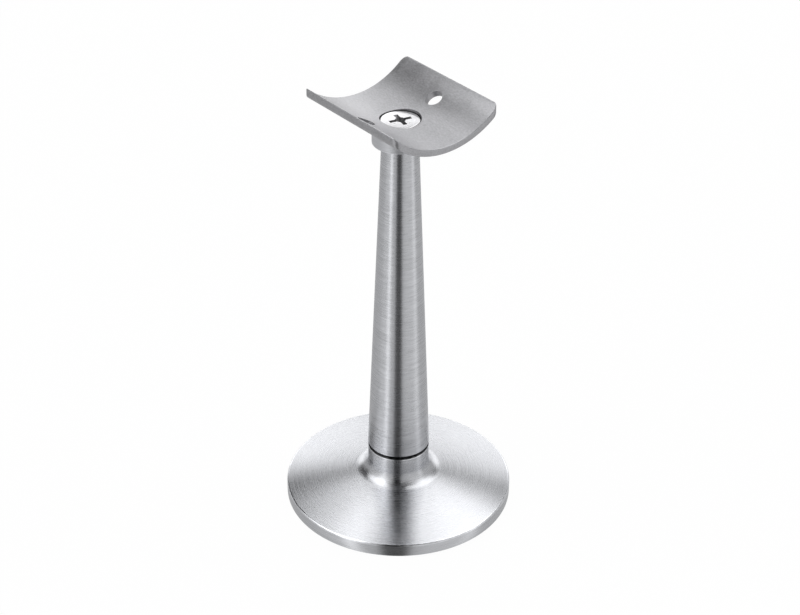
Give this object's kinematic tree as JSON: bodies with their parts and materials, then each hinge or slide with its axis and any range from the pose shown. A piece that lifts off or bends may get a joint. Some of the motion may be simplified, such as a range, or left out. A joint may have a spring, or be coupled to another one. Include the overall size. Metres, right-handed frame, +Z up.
{
  "type": "railing saddle post",
  "caption": "Short tapered steel post on a round turned flange, with a rolled saddle plate on top that carries a round handrail.",
  "frame": {"origin": "middle of the flange's underside, on the post's axis", "axes": "+Z up along the post, +X along the handrail's axis"},
  "size_m": [0.07, 0.07, 0.1358],
  "materials": {
    "flange_steel": "satin stainless steel with circular turning lines",
    "post_steel": "satin stainless steel with fine lines round the taper",
    "collar_steel": "satin stainless steel, turned",
    "saddle_steel": "satin stainless sheet, rolled",
    "screw_steel": "bright stainless steel",
    "stud_steel": "plain stainless steel"
  },
  "bodies": {
    "root": {"base_flange": "flange_steel", "joint_stud": "stud_steel", "post": "post_steel", "saddle_collar": "collar_steel", "saddle_plate": "saddle_steel", "saddle_screw": "screw_steel"}
  },
  "joints": []
}
